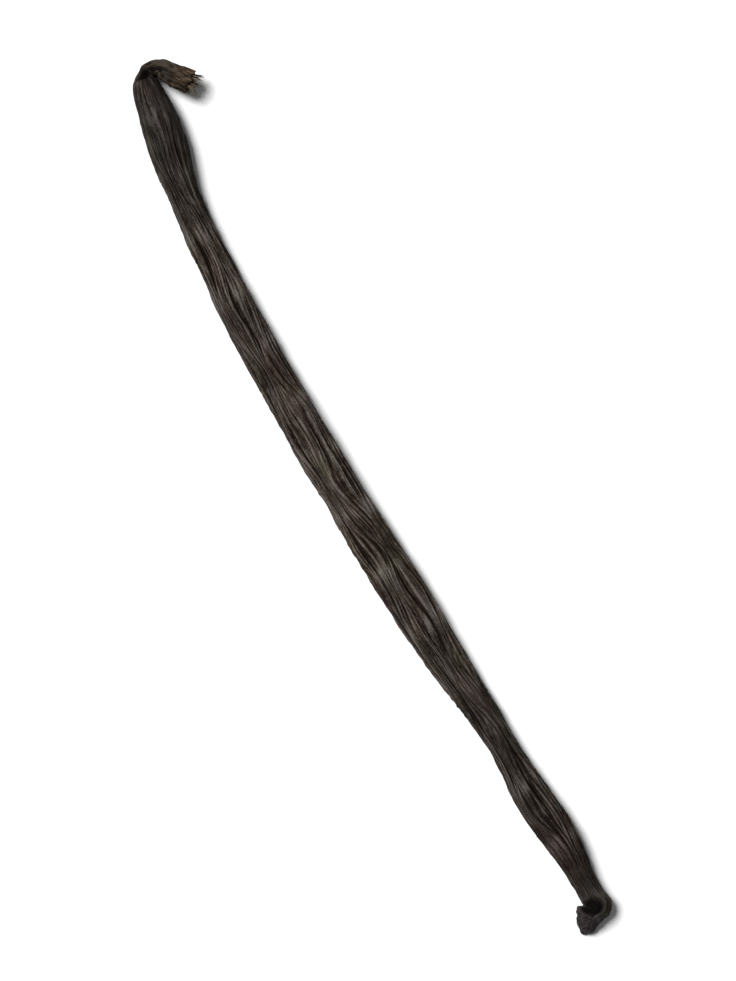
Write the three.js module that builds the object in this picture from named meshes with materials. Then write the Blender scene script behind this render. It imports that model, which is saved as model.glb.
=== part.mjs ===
// A cured vanilla pod: one long, flattened, wrinkled fruit, lying on its flatter side.
// The stalk end is hooked over sideways and torn off short; the blossom end narrows to a neck and
// ends in a small knob that carries the scar of the flower.
//
// Units are millimetres and +Z is up. The pod runs along Y with its stalk at the +Y end. The origin
// is under the middle line, half way along the pod, on the surface that it lies on. "Station" below
// means the distance along the middle line from the torn end of the stalk.
import * as THREE from "three";

// ---- Driving dimensions -------------------------------------------------------------------------

const POD_LENGTH = 176.9; // along the middle line, from the torn stalk to the blossom tip
const ORIGIN_STATION = 92; // half way along the pod
const STALK_WIDTH = 3.1; // in the middle of the hook
const BODY_WIDTH = 8.1; // at the widest place
const NECK_WIDTH = 4.3; // just before the knob
const KNOB_WIDTH = 5.3;
const UNDERSIDE_SHARE = 0.45; // how much of the thickness lies below the middle line
const SQUARENESS = 0.9; // exponent of the section: 1 is an ellipse, less is squarer
const PRESSED_FLAT = 0.22; // how far the soft underside has settled onto the surface

const CREASE_COUNT = 22; // long creases round the pod
const CREASE_DEPTH = 0.32; // on the widest part of the body
const CREASE_JITTER = 0.3; // uneven spacing, as a share of the even spacing
const CREASE_SWAY = 0.04; // how far a crease wanders round the pod by itself, in radians
const CREST_COLUMNS = [0.27, 0.73]; // the columns of the mesh between two creases

const TORN_RAGGEDNESS = 0.9; // how far the torn fibres of the stalk stand out
const TORN_HOLLOW = 0.2; // how far the middle of the torn face lies inside its rim
const TIP_DOME = 0.35; // how far the blossom end stands out in its middle
const SCAR_START = 3.4; // length of the flower scar on the knob, from the tip
const SCAR_STEP = 0.3; // how far the scar lies below the rim of the knob
const FALL_IN = 0.25; // how far the broad hollows between the lobes of the fruit have fallen in
const LOBES = [
  { count: 3, share: 0.6, turnsIn: 160, start: 0.1 }, // the fruit has three lobes
  { count: 5, share: 0.4, turnsIn: -90, start: 0.6 },
];

// The plan of the middle line: each bend turns it by so many degrees, centred on a station and
// spread over a length. A positive turn is to the right when walking from the stalk to the tip.
const START_HEADING = 146; // of the torn stalk, where 0 points along -Y
const BENDS = [
  { station: 7.3, over: 6.4, turn: -134 }, // the hook of the stalk
  { station: 19.5, over: 13, turn: -2.5 },
  { station: 33, over: 22, turn: -7 },
  { station: 56, over: 26, turn: -4.2 },
  { station: 98, over: 60, turn: -2.6 },
  { station: 126, over: 16, turn: -2 },
  { station: 137, over: 12, turn: 5 },
  { station: 151, over: 10, turn: -6.4 },
  { station: 161, over: 10, turn: 7.4 },
  { station: 171.8, over: 4.2, turn: 62 }, // the knob turns aside
];

// Width at a station, as a share of the named widths, and thickness as a share of that width.
const S = STALK_WIDTH;
const B = BODY_WIDTH;
const N = NECK_WIDTH;
const K = KNOB_WIDTH;
const SIZES = [
  { station: 0, width: 1.45 * S, flatness: 0.68 },
  { station: 2.4, width: 1.35 * S, flatness: 0.72 },
  { station: 5, width: 1.16 * S, flatness: 0.77 },
  { station: 7.3, width: S, flatness: 0.84 },
  { station: 9.4, width: 1.46 * S, flatness: 0.77 },
  { station: 12, width: 0.72 * B, flatness: 0.67 },
  { station: 15.7, width: 0.85 * B, flatness: 0.61 },
  { station: 22, width: 0.92 * B, flatness: 0.58 },
  { station: 30, width: 0.72 * B, flatness: 0.7 },
  { station: 42, width: 0.76 * B, flatness: 0.68 },
  { station: 54, width: 0.86 * B, flatness: 0.6 },
  { station: 88, width: 0.92 * B, flatness: 0.56 },
  { station: 108, width: B, flatness: 0.53 },
  { station: 122, width: 0.92 * B, flatness: 0.55 },
  { station: 133, width: 0.72 * B, flatness: 0.66 },
  { station: 141, width: 0.63 * B, flatness: 0.74 },
  { station: 154, width: 0.86 * B, flatness: 0.6 },
  { station: 162, width: 0.7 * B, flatness: 0.68 },
  { station: 165.5, width: 1.06 * N, flatness: 0.78 },
  { station: 169.8, width: 1.02 * N, flatness: 0.82 },
  { station: 171.4, width: 0.98 * K, flatness: 0.74 },
  { station: 172.5, width: 0.96 * K, flatness: 0.74 },
  { station: 173.2, width: 0.92 * K, flatness: 0.76 },
  { station: 174, width: 1.03 * K, flatness: 0.7 },
  { station: 175.3, width: 0.86 * K, flatness: 0.64 },
  { station: 176.2, width: 0.66 * K, flatness: 0.62 },
  { station: POD_LENGTH, width: 0.35 * K, flatness: 0.7 },
];

// How far the section is moved over to the +X side.
const SHIFTS = [
  { station: 0, shift: 0.3 },
  { station: 2.4, shift: 0.45 },
  { station: 5, shift: 0.35 },
  { station: 7.3, shift: 0.15 },
  { station: 9.4, shift: -0.45 },
  { station: 12, shift: -0.4 },
  { station: 16, shift: -0.05 },
  { station: 20, shift: 0.1 },
  { station: 26, shift: 0 },
  { station: 158, shift: 0 },
  { station: 165.5, shift: -0.35 },
  { station: 169.8, shift: -0.28 },
  { station: 171.4, shift: 0 },
  { station: 172.5, shift: -0.15 },
  { station: 173.2, shift: -0.62 },
  { station: 174, shift: -0.85 },
  { station: 175.3, shift: -0.38 },
  { station: 176.2, shift: -0.15 },
  { station: POD_LENGTH, shift: 0.12 },
];

// How far the underside is lifted off the surface.
const LIFTS = [
  { station: 0, lift: 1.5 },
  { station: 9, lift: 0.5 },
  { station: 19, lift: 0 },
  { station: 60, lift: 0 },
  { station: 76, lift: 0.16 },
  { station: 92, lift: 0 },
  { station: 150, lift: 0 },
  { station: 166, lift: 0.42 },
  { station: POD_LENGTH, lift: 0.3 },
];

// How far the section leans over, in degrees: a positive roll raises the +X side.
const ROLLS = [
  { station: 0, roll: 0 },
  { station: 16, roll: 17 },
  { station: 38, roll: -3 },
  { station: 84, roll: 3 },
  { station: 118, roll: -6 },
  { station: 150, roll: 5 },
  { station: POD_LENGTH, roll: 0 },
];

// How far the creases have turned round the pod, in degrees.
const TWISTS = [
  { station: 0, twist: 6 },
  { station: 60, twist: 0 },
  { station: 118, twist: -24 },
  { station: POD_LENGTH, twist: -32 },
];

// Waves that all the creases follow together: how many degrees they swing round the pod, the length
// of a wave along it, and how often and from where the wave starts anew on the way round.
const WAVES = [
  { swing: 5.7, length: 34, round: 2, start: 0.1 },
  { swing: 4, length: 19, round: -3, start: 0.4 },
  { swing: 2.3, length: 12, round: 5, start: 0.7 },
];

// Creases that have sunk into deep folds, between two stations.
const DEEP_FOLDS = [
  { crease: 3, from: 12, to: 27, depth: 0.3 }, // beside the keel of the shoulder
  { crease: 7, from: 34, to: 52, depth: 0.5 },
  { crease: 5, from: 46, to: 78, depth: 0.3 },
  { crease: 8, from: 70, to: 92, depth: 0.36 },
  { crease: 4, from: 92, to: 124, depth: 0.34 },
  { crease: 9, from: 118, to: 156, depth: 0.4 },
  { crease: 6, from: 132, to: 160, depth: 0.4 },
  { crease: 14, from: 24, to: 70, depth: 0.4 },
  { crease: 19, from: 96, to: 150, depth: 0.4 },
];
const SMOOTH_NECK = { from: 9, to: 34, share: 0.45 }; // shallower creases behind the hook
const WAIST = { station: 8.9, reach: 1, depth: 0.3 }; // the groove where the stalk joins the fruit

// Patches that stand below the plain skin, or above it where the depth is negative. Each is strongest
// at a station and an angle, and is gone at its reach along the pod and its spread round it.
const PATCHES = [
  { station: 7.3, reach: 1.7, angle: 140, spread: 60, depth: -0.25 }, // rim of the bent stalk
  { station: 8.75, reach: 1.3, angle: 105, spread: 95, depth: 0.8 }, // pit below that rim
  { station: 18.5, reach: 10.5, angle: 57, spread: 26, depth: -0.4 }, // sharp keel of the shoulder
  { station: 172.2, reach: 3.1, angle: 119, spread: 95, depth: 0.7 }, // fallen-in side of the knob
];

// Spacing of the rings of the mesh, up to each station.
const RING_SPACING = [
  { upTo: 4.6, spacing: 1.1 },
  { upTo: 11, spacing: 0.64 },
  { upTo: 28, spacing: 2 },
  { upTo: 158, spacing: 3.6 },
  { upTo: 168.8, spacing: 1.8 },
  { upTo: POD_LENGTH, spacing: 0.62 },
];
const PATH_STEP = 0.1; // step of the sum that lays out the middle line

// ---- Helpers ------------------------------------------------------------------------------------

// A repeatable number from 0 to 1 for a crease and a purpose.
function chance(index, purpose) {
  const mixed = Math.sin(index * 12.9898 + purpose * 78.233) * 43758.5453;
  return mixed - Math.floor(mixed);
}

// 0 before from, 1 after to, and smooth in between.
function smoothStep(from, to, at) {
  return THREE.MathUtils.smoothstep(at, from, to);
}

// The value of one field of a table at a station, on a smooth curve through the table's rows.
function along(table, field, station) {
  const last = table.length - 1;
  let i = 0;
  while (i < last - 1 && station > table[i + 1].station) i += 1;
  const slope = (j) => {
    const a = table[Math.max(j - 1, 0)];
    const b = table[Math.min(j + 1, last)];
    return (b[field] - a[field]) / (b.station - a.station);
  };
  const span = table[i + 1].station - table[i].station;
  const t = THREE.MathUtils.clamp((station - table[i].station) / span, 0, 1);
  const back = 1 - t;
  const nearRow = (1 + 2 * t) * back ** 2 * table[i][field] + span * t * back ** 2 * slope(i);
  const farRow = (1 + 2 * back) * t ** 2 * table[i + 1][field] - span * t ** 2 * back * slope(i + 1);
  return nearRow + farRow;
}

// ---- Middle line --------------------------------------------------------------------------------

// The direction of the middle line in plan, in radians from -Y.
function headingAt(station) {
  let degrees = START_HEADING;
  for (const { station: at, over, turn } of BENDS) {
    degrees += turn * smoothStep(at - over / 2, at + over / 2, station);
  }
  return THREE.MathUtils.degToRad(degrees);
}

// Points of the middle line in plan, one for each step, by summing short straight steps.
function layOutPath() {
  const points = [new THREE.Vector2(0, 0)];
  for (let s = PATH_STEP / 2; s < POD_LENGTH; s += PATH_STEP) {
    const heading = headingAt(s);
    const step = new THREE.Vector2(-Math.sin(heading), -Math.cos(heading)).multiplyScalar(PATH_STEP);
    points.push(points[points.length - 1].clone().add(step));
  }
  return points;
}

const path = layOutPath();

function planAt(station) {
  const at = THREE.MathUtils.clamp(station / PATH_STEP, 0, path.length - 1.001);
  const i = Math.floor(at);
  return path[i].clone().lerp(path[i + 1], at - i);
}

// ---- Section ------------------------------------------------------------------------------------

// The angle of a crease round the pod, in radians: 0 is its left side, a quarter turn is the top.
function creaseAngle(crease, station) {
  const even = (2 * Math.PI) / CREASE_COUNT;
  const start = even * (crease + CREASE_JITTER * (2 * chance(crease, 1) - 1));
  const own = (2 * Math.PI * station) / (34 + 36 * chance(crease, 2));
  const sway = CREASE_SWAY * Math.sin(own + 2 * Math.PI * chance(crease, 3));
  let degrees = along(TWISTS, "twist", station);
  for (const { swing, length, round, start: ahead } of WAVES) {
    degrees += swing * Math.sin(2 * Math.PI * (station / length + ahead) + round * start);
  }
  return start + sway + THREE.MathUtils.degToRad(degrees);
}

// 1 at the middle, falling smoothly to 0 at the reach on either side.
function hump(middle, reach, at) {
  return 1 - smoothStep(0, reach, Math.abs(at - middle));
}

// How deep a crease is: it fades in and out along the pod, and some stretches are deep folds.
function creaseDepth(crease, station) {
  const wave = (2 * Math.PI * station) / (18 + 24 * chance(crease, 4));
  const fade = 0.62 + 0.38 * Math.sin(wave + 2 * Math.PI * chance(crease, 5));
  const { from, to, share } = SMOOTH_NECK;
  const neck = smoothStep(from - 4, from, station) * (1 - smoothStep(to - 12, to, station));
  let depth = CREASE_DEPTH * fade * (1 - (1 - share) * neck);
  for (const fold of DEEP_FOLDS) {
    if (fold.crease !== crease) continue;
    const run = (fold.to - fold.from) / 3;
    const opened = smoothStep(fold.from, fold.from + run, station);
    const closed = smoothStep(fold.to - run, fold.to, station);
    depth += fold.depth * opened * (1 - closed);
  }
  const onScar = smoothStep(POD_LENGTH - SCAR_START - 0.4, POD_LENGTH - SCAR_START, station);
  return depth * (along(SIZES, "width", station) / BODY_WIDTH) * (1 - 0.8 * onScar);
}

// The broad shape laid over the plain section, as a depth below it: the hollows between the lobes,
// the groove at the waist, and the patches.
function broadDepth(angle, station) {
  let depth = 0;
  for (const { count, share, turnsIn, start } of LOBES) {
    const turned = count * angle + 2 * Math.PI * (station / turnsIn + start);
    depth += FALL_IN * share * (0.5 - 0.5 * Math.cos(turned));
  }
  depth *= along(SIZES, "width", station) / BODY_WIDTH;
  depth += WAIST.depth * hump(WAIST.station, WAIST.reach, station);
  const degrees = THREE.MathUtils.radToDeg(angle);
  for (const patch of PATCHES) {
    const away = THREE.MathUtils.euclideanModulo(degrees - patch.angle + 180, 360) - 180;
    const share = hump(patch.station, patch.reach, station) * hump(0, patch.spread, away);
    depth += patch.depth * share;
  }
  return depth;
}

// The columns of one ring: an angle and how far that column lies below the plain section.
function columnsAt(station) {
  const columns = [];
  for (let k = 0; k < CREASE_COUNT; k += 1) {
    const next = (k + 1) % CREASE_COUNT;
    const a = creaseAngle(k, station);
    const b = creaseAngle(next, station) + (next === 0 ? 2 * Math.PI : 0);
    columns.push({ angle: a, sunk: broadDepth(a, station) + creaseDepth(k, station) });
    for (const share of CREST_COLUMNS) {
      const crest = a + share * (b - a);
      columns.push({ angle: crest, sunk: broadDepth(crest, station) });
    }
  }
  return columns;
}

// The rim of the knob stands proud of the flower scar beyond it.
function scarStep(station) {
  return SCAR_STEP * smoothStep(POD_LENGTH - SCAR_START - 0.1, POD_LENGTH - SCAR_START + 0.6, station);
}

// A point of the skin. ragged moves it back along the middle line, for the torn end.
function skinPoint(station, angle, sunk, ragged) {
  const halfWidth = along(SIZES, "width", station) / 2 - scarStep(station);
  const thickness = 2 * halfWidth * along(SIZES, "flatness", station);
  const below = thickness * UNDERSIDE_SHARE;
  const halfHeight = Math.sin(angle) > 0 ? thickness - below : below;
  const power = (value) => Math.sign(value) * Math.abs(value) ** SQUARENESS;
  const out = new THREE.Vector2(Math.cos(angle) / halfWidth, Math.sin(angle) / halfHeight).normalize();
  const section = new THREE.Vector2(power(Math.cos(angle)), power(Math.sin(angle)));
  section.multiply(new THREE.Vector2(halfWidth, halfHeight)).addScaledVector(out, -sunk);
  section.rotateAround(new THREE.Vector2(), THREE.MathUtils.degToRad(along(ROLLS, "roll", station)));
  section.x += along(SHIFTS, "shift", station);

  const middle = planAt(station);
  const heading = headingAt(station);
  const left = new THREE.Vector2(Math.cos(heading), -Math.sin(heading));
  const ahead = new THREE.Vector2(-Math.sin(heading), -Math.cos(heading));
  const z = below + along(LIFTS, "lift", station) - PRESSED_FLAT + section.y;
  return new THREE.Vector3(
    middle.x + left.x * section.x + ahead.x * ragged,
    middle.y + left.y * section.x + ahead.y * ragged,
    Math.max(z, 0),
  );
}

// ---- Solid --------------------------------------------------------------------------------------

function ringStations() {
  const stations = [];
  let from = 0;
  for (const { upTo, spacing } of RING_SPACING) {
    const steps = Math.round((upTo - from) / spacing);
    for (let i = 0; i < steps; i += 1) stations.push(from + ((upTo - from) * i) / steps);
    from = upTo;
  }
  stations.push(POD_LENGTH);
  return stations;
}

// One closed skin: rings of columns that follow the creases, and a fan of triangles at each end.
function podGeometry() {
  const positions = [];
  const triangles = [];
  const stations = ringStations();
  const columnCount = CREASE_COUNT * (1 + CREST_COLUMNS.length);

  stations.forEach((station, ring) => {
    columnsAt(station).forEach(({ angle, sunk }, column) => {
      const ragged = ring === 0 ? -TORN_RAGGEDNESS * chance(column, 6) : 0;
      positions.push(...skinPoint(station, angle, sunk, ragged).toArray());
    });
  });
  for (let ring = 0; ring < stations.length - 1; ring += 1) {
    for (let column = 0; column < columnCount; column += 1) {
      const a = ring * columnCount + column;
      const b = ring * columnCount + ((column + 1) % columnCount);
      triangles.push(a, b, a + columnCount, b, b + columnCount, a + columnCount);
    }
  }

  const addEnd = (ring, centre, forward) => {
    const pole = positions.length / 3;
    positions.push(...centre.toArray());
    for (let column = 0; column < columnCount; column += 1) {
      const a = ring * columnCount + column;
      const b = ring * columnCount + ((column + 1) % columnCount);
      triangles.push(...(forward ? [a, b, pole] : [b, a, pole]));
    }
  };
  const middleOf = (station, reach) => {
    const left = skinPoint(station, 0, 0, reach);
    const right = skinPoint(station, Math.PI, 0, reach);
    return left.add(right).multiplyScalar(0.5);
  };
  addEnd(0, middleOf(0, TORN_HOLLOW), false);
  addEnd(stations.length - 1, middleOf(POD_LENGTH, TIP_DOME), true);

  const geometry = new THREE.BufferGeometry();
  geometry.setAttribute("position", new THREE.Float32BufferAttribute(positions, 3));
  geometry.setIndex(triangles);
  return geometry;
}

// ---- Part ---------------------------------------------------------------------------------------

const skin = new THREE.MeshStandardMaterial({ color: 0x392f2a, roughness: 0.5, metalness: 0 });

const geometry = podGeometry();
const origin = planAt(ORIGIN_STATION);
geometry.translate(-origin.x, -origin.y, 0);
geometry.computeVertexNormals();

const pod = new THREE.Mesh(geometry, skin);
pod.name = "pod";

const part = new THREE.Group();
part.add(pod);

export default part;
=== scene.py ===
# %% [markdown]
# # A cured vanilla pod
#
# A vanilla pod is the fruit of a climbing orchid. It is picked green and plump, and then sweated and
# dried for months. Its wall shrinks and its skin doesn't, so the skin gathers into long wrinkles, goes
# nearly black and takes a faint oily sheen. One end keeps a hook of stalk, torn off short. The other
# end keeps a small knob with the scar of the flower.
#
# We make it the way a basket maker thinks of a rod: one closed section, carried along a bent middle
# line, with all the wrinkles worked out as depths below a plain skin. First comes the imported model,
# which fixes the size and the place of everything.

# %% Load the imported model
import math

import bpy
import numpy as np
from mathutils import Matrix, Vector


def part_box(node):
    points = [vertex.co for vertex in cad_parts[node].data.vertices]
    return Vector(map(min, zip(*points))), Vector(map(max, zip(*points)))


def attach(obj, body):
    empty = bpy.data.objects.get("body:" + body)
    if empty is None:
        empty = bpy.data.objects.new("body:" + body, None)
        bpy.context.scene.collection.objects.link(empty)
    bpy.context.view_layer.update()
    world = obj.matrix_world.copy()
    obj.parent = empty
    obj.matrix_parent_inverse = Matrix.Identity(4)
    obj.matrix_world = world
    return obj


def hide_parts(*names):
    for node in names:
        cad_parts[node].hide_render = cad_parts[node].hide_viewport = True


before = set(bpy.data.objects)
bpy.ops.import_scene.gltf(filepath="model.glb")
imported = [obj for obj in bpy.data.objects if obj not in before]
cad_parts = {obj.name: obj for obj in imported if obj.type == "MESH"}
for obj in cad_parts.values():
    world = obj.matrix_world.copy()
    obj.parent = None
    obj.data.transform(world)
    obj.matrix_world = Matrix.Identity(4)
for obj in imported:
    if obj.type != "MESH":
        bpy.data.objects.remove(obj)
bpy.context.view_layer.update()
pod_low, pod_high = (np.array(corner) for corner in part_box("pod"))
print("pod box in mm:", np.round((pod_high - pod_low) * 1000, 1))

# %% [markdown]
# ## The pod's measurements
#
# A long soft thing is easiest to describe as a tailor would: a list of stations along it, and at each
# station how wide it is, how flat, how far it leans and where it bends. Lengths are in millimetres here,
# as on a drawing, and become metres when a mesh is made. A station is the distance along the middle
# line from the torn end of the stalk.

# %% Main measurements
MM = 0.001  # in metres

POD_LENGTH = 176.9  # along the middle line, from the torn stalk to the blossom tip
ORIGIN_STATION = 92.0  # half way along the pod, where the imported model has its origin
STALK_WIDTH = 3.1  # in the middle of the hook
BODY_WIDTH = 8.1  # at the widest place
NECK_WIDTH = 4.3  # just before the knob
KNOB_WIDTH = 5.3
print("pod", POD_LENGTH, "mm long and", BODY_WIDTH, "mm wide")

# %% Bends
START_HEADING = 146.0  # of the torn stalk, in degrees, where 0 points along -Y
BENDS = np.array([  # station, spread over, turn in degrees, clockwise
    (7.3, 6.4, -134), (19.5, 13, -2.5), (33, 22, -7), (56, 26, -4.2), (98, 60, -2.6),
    (126, 16, -2), (137, 12, 5), (151, 10, -6.4), (161, 10, 7.4), (171.8, 4.2, 62),
])
print(len(BENDS), "bends, the sharpest by", np.abs(BENDS[:, 2]).max(), "degrees")

# %% Width and thickness
WIDTHS = np.array([  # station, width
    (0, 1.45 * STALK_WIDTH), (2.4, 1.35 * STALK_WIDTH), (5, 1.16 * STALK_WIDTH), (7.3, STALK_WIDTH),
    (9.4, 1.46 * STALK_WIDTH), (12, 0.72 * BODY_WIDTH), (15.7, 0.85 * BODY_WIDTH),
    (22, 0.92 * BODY_WIDTH), (30, 0.72 * BODY_WIDTH), (42, 0.76 * BODY_WIDTH),
    (54, 0.86 * BODY_WIDTH), (88, 0.92 * BODY_WIDTH), (108, BODY_WIDTH), (122, 0.92 * BODY_WIDTH),
    (133, 0.72 * BODY_WIDTH), (141, 0.63 * BODY_WIDTH), (154, 0.86 * BODY_WIDTH),
    (162, 0.7 * BODY_WIDTH), (165.5, 1.06 * NECK_WIDTH), (169.8, 1.02 * NECK_WIDTH),
    (171.4, 0.98 * KNOB_WIDTH), (172.5, 0.96 * KNOB_WIDTH), (173.2, 0.92 * KNOB_WIDTH),
    (174, 1.03 * KNOB_WIDTH), (175.3, 0.86 * KNOB_WIDTH), (176.2, 0.66 * KNOB_WIDTH),
    (POD_LENGTH, 0.35 * KNOB_WIDTH),
])
FLATNESSES = np.array([  # station, thickness as a share of width
    (0, 0.68), (2.4, 0.72), (5, 0.77), (7.3, 0.84), (9.4, 0.77), (12, 0.67), (15.7, 0.61), (22, 0.58),
    (30, 0.7), (42, 0.68), (54, 0.6), (88, 0.56), (108, 0.53), (122, 0.55), (133, 0.66), (141, 0.74),
    (154, 0.6), (162, 0.68), (165.5, 0.78), (169.8, 0.82), (171.4, 0.74), (172.5, 0.74),
    (173.2, 0.76), (174, 0.7), (175.3, 0.64), (176.2, 0.62), (POD_LENGTH, 0.7),
])
print("thickness is", FLATNESSES[:, 1].min(), "to", FLATNESSES[:, 1].max(), "of the width")

# %% Shift, lift, lean and twist
SHIFTS = np.array([  # station, how far the section stands over to the +X side
    (0, 0.3), (2.4, 0.45), (5, 0.35), (7.3, 0.15), (9.4, -0.45), (12, -0.4), (16, -0.05), (20, 0.1),
    (26, 0), (158, 0), (165.5, -0.35), (169.8, -0.28), (171.4, 0), (172.5, -0.15), (173.2, -0.62),
    (174, -0.85), (175.3, -0.38), (176.2, -0.15), (POD_LENGTH, 0.12),
])
LIFTS = np.array([  # station, how far the underside is lifted off the table
    (0, 1.5), (9, 0.5), (19, 0), (60, 0), (76, 0.16), (92, 0), (150, 0), (166, 0.42),
    (POD_LENGTH, 0.3),
])
# Station, and degrees: a roll leans the section over and raises its +X side, and a twist turns the
# creases round the pod.
ROLLS = np.array([(0, 0), (16, 17), (38, -3), (84, 3), (118, -6), (150, 5), (POD_LENGTH, 0)])
TWISTS = np.array([(0, 6), (60, 0), (118, -24), (POD_LENGTH, -32)])
print("the creases twist by", round(TWISTS[0, 1] - TWISTS[-1, 1]), "degrees from end to end")

# %% [markdown]
# ## Smooth curves through the measurements
#
# Straight lines between the stations would leave corners in the skin, so each list is read through a
# smooth curve. Three small helpers do all the blending in this lesson.

# %% Blending helpers
def smooth_step(start, end, at):
    """0 before start, 1 after end, and 3t^2 - 2t^3 in between, where t is the way from start to end."""
    t = np.clip((at - start) / (end - start), 0, 1)
    return t * t * (3 - 2 * t)


def hump(middle, reach, at):
    """1 at the middle, falling smoothly to 0 at the reach on either side."""
    return 1 - smooth_step(0, reach, np.abs(at - middle))


def along(table, station):
    """The table's value at each station, on a cubic between its rows: at every row the curve's slope
    is that of the straight line from the row before to the row after."""
    at, value = table.T
    rows = np.arange(len(at))
    before, after = np.maximum(rows - 1, 0), np.minimum(rows + 1, len(at) - 1)
    slope = (value[after] - value[before]) / (at[after] - at[before])
    i = np.clip(np.searchsorted(at, station, side="right") - 1, 0, len(at) - 2)
    span = at[i + 1] - at[i]
    t = np.clip((station - at[i]) / span, 0, 1)
    back = 1 - t
    from_rows = (1 + 2 * t) * back**2 * value[i] + (1 + 2 * back) * t**2 * value[i + 1]
    return from_rows + span * (t * back**2 * slope[i] - t**2 * back * slope[i + 1])


print("width half way along:", round(float(along(WIDTHS, np.array(88.3))), 2), "mm")

# %% [markdown]
# ## The middle line
#
# Seen from above, the pod is a line that keeps its direction except at a few bends: the tight hook of
# the stalk, some slow drifts along the body, and the knob that turns aside. Adding up short steps in
# the direction that the bends give lays the line out, just as one would pace it on the ground.

# %% Middle line in plan
def heading(station):
    """Direction in radians, clockwise from -Y: the start direction plus each bend's turn, smoothly."""
    degrees = START_HEADING + sum(
        turn * smooth_step(at - over / 2, at + over / 2, station) for at, over, turn in BENDS
    )
    return np.radians(degrees)


PATH_STEP = 0.1
path_station = np.arange(0, POD_LENGTH + PATH_STEP, PATH_STEP)
step_heading = heading(path_station[:-1] + PATH_STEP / 2)
path_x = np.concatenate([[0], np.cumsum(-np.sin(step_heading) * PATH_STEP)])
path_y = np.concatenate([[0], np.cumsum(-np.cos(step_heading) * PATH_STEP)])
path_x -= np.interp(ORIGIN_STATION, path_station, path_x)
path_y -= np.interp(ORIGIN_STATION, path_station, path_y)
print("line runs from y =", round(path_y.max(), 1), "to", round(path_y.min(), 1), "mm")

# %% [markdown]
# ## Repeatable chance
#
# Wrinkles are uneven, so they need chance, but the same chance each time. One fraction of a large
# sine gives a number for every pair of whole numbers. Blending between such numbers on a grid gives
# smooth noise. The grid closes on itself round the pod, so there is no seam.

# %% Chance and noise
def chance(index, purpose):
    """A number from 0 to 1: the fraction of 43758.5453 sin(12.9898 index + 78.233 purpose)."""
    mixed = np.sin(index * 12.9898 + purpose * 78.233) * 43758.5453
    return mixed - np.floor(mixed)


def noise(around, length, cells, purpose, push=1.0):
    """Smooth noise from 0 to 1. around is the turn round the pod from 0 to 1, cut into so many cells
    that close on themselves, and length is counted in cells too. Each cell corner has its chance,
    and the four corners are blended with 6t^5 - 15t^4 + 10t^3. A push below 1 drives the corners
    away from a half, by raising twice their distance from it to that power."""
    u, v = (around % 1) * cells, length
    i, j = np.floor(u), np.floor(v)

    def ease(t):
        return t * t * t * (t * (6 * t - 15) + 10)

    def corner(di, dj):
        off = 2 * chance((i + di) % cells + 57 * (j + dj), purpose) - 1
        return 0.5 + 0.5 * np.sign(off) * np.abs(off) ** push

    s, t = ease(u - i), ease(v - j)
    near = corner(0, 0) * (1 - s) + corner(1, 0) * s
    far = corner(0, 1) * (1 - s) + corner(1, 1) * s
    return near * (1 - t) + far * t


print("chance of the first three:", np.round(chance(np.arange(3), 1), 2))

# %% [markdown]
# ## The grid of the skin
#
# The skin is one grid: rings along the pod and columns round it. The rings stand closer together at
# the hook and the knob, where the shape turns fast. Twenty-two long creases run the length of the pod,
# and the columns follow them: each crease has a column of its own for its whole course, with the rest
# spread evenly between. A sharp crease then stays sharp, instead of crossing columns in little steps.
# Each crease sways a little by itself. They also wander in slow waves and turn round the pod together,
# because a curing pod shrinks unevenly and twists.

# %% Rings and columns
RING_COUNT = 430
CREASE_COUNT = 22
COLUMNS_EACH = np.where(np.arange(CREASE_COUNT) < CREASE_COUNT / 2, 13, 7)  # closer on the upper side
RING_SPACINGS = np.array([  # station, spacing
    (0, 0.22), (12, 0.26), (26, 0.45), (160, 0.45), (169, 0.2), (POD_LENGTH, 0.13),
])
print("rings stand", RING_SPACINGS[:, 1].min(), "to", RING_SPACINGS[:, 1].max(), "mm apart")

# %% Courses of the long creases
CREASE_JITTER = 0.3  # uneven spacing, as a share of the even spacing
CREASE_SWAY = 0.04  # how far a crease wanders by itself, in radians
SWAY_LENGTH, SWAY_SPREAD = 34, 36  # a sway is so many mm long, plus up to so many
WAVES = ((5.7, 34, 2, 0.1), (4, 19, -3, 0.4), (2.3, 12, 5, 0.7))  # degrees, length, count round, ahead


def crease_angle(crease, station):
    """Even spacing, plus a fixed jitter, a slow sway of its own, the pod's twist, and the waves that
    all the creases follow together: each is a sine of the station, begun anew on the way round."""
    even = 2 * np.pi / CREASE_COUNT
    start = even * (crease + CREASE_JITTER * (2 * chance(crease, 1) - 1))
    own = 2 * np.pi * station / (SWAY_LENGTH + SWAY_SPREAD * chance(crease, 2))
    sway = CREASE_SWAY * np.sin(own + 2 * np.pi * chance(crease, 3))
    together = along(TWISTS, station)
    for degrees, length, count, ahead in WAVES:
        together = together + degrees * np.sin(2 * np.pi * (station / length + ahead) + count * start)
    return start + sway + np.radians(together)


first_course = crease_angle(0, np.arange(0, POD_LENGTH))
print("the first crease strays over", round(np.degrees(np.ptp(first_course))), "degrees")

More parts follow.
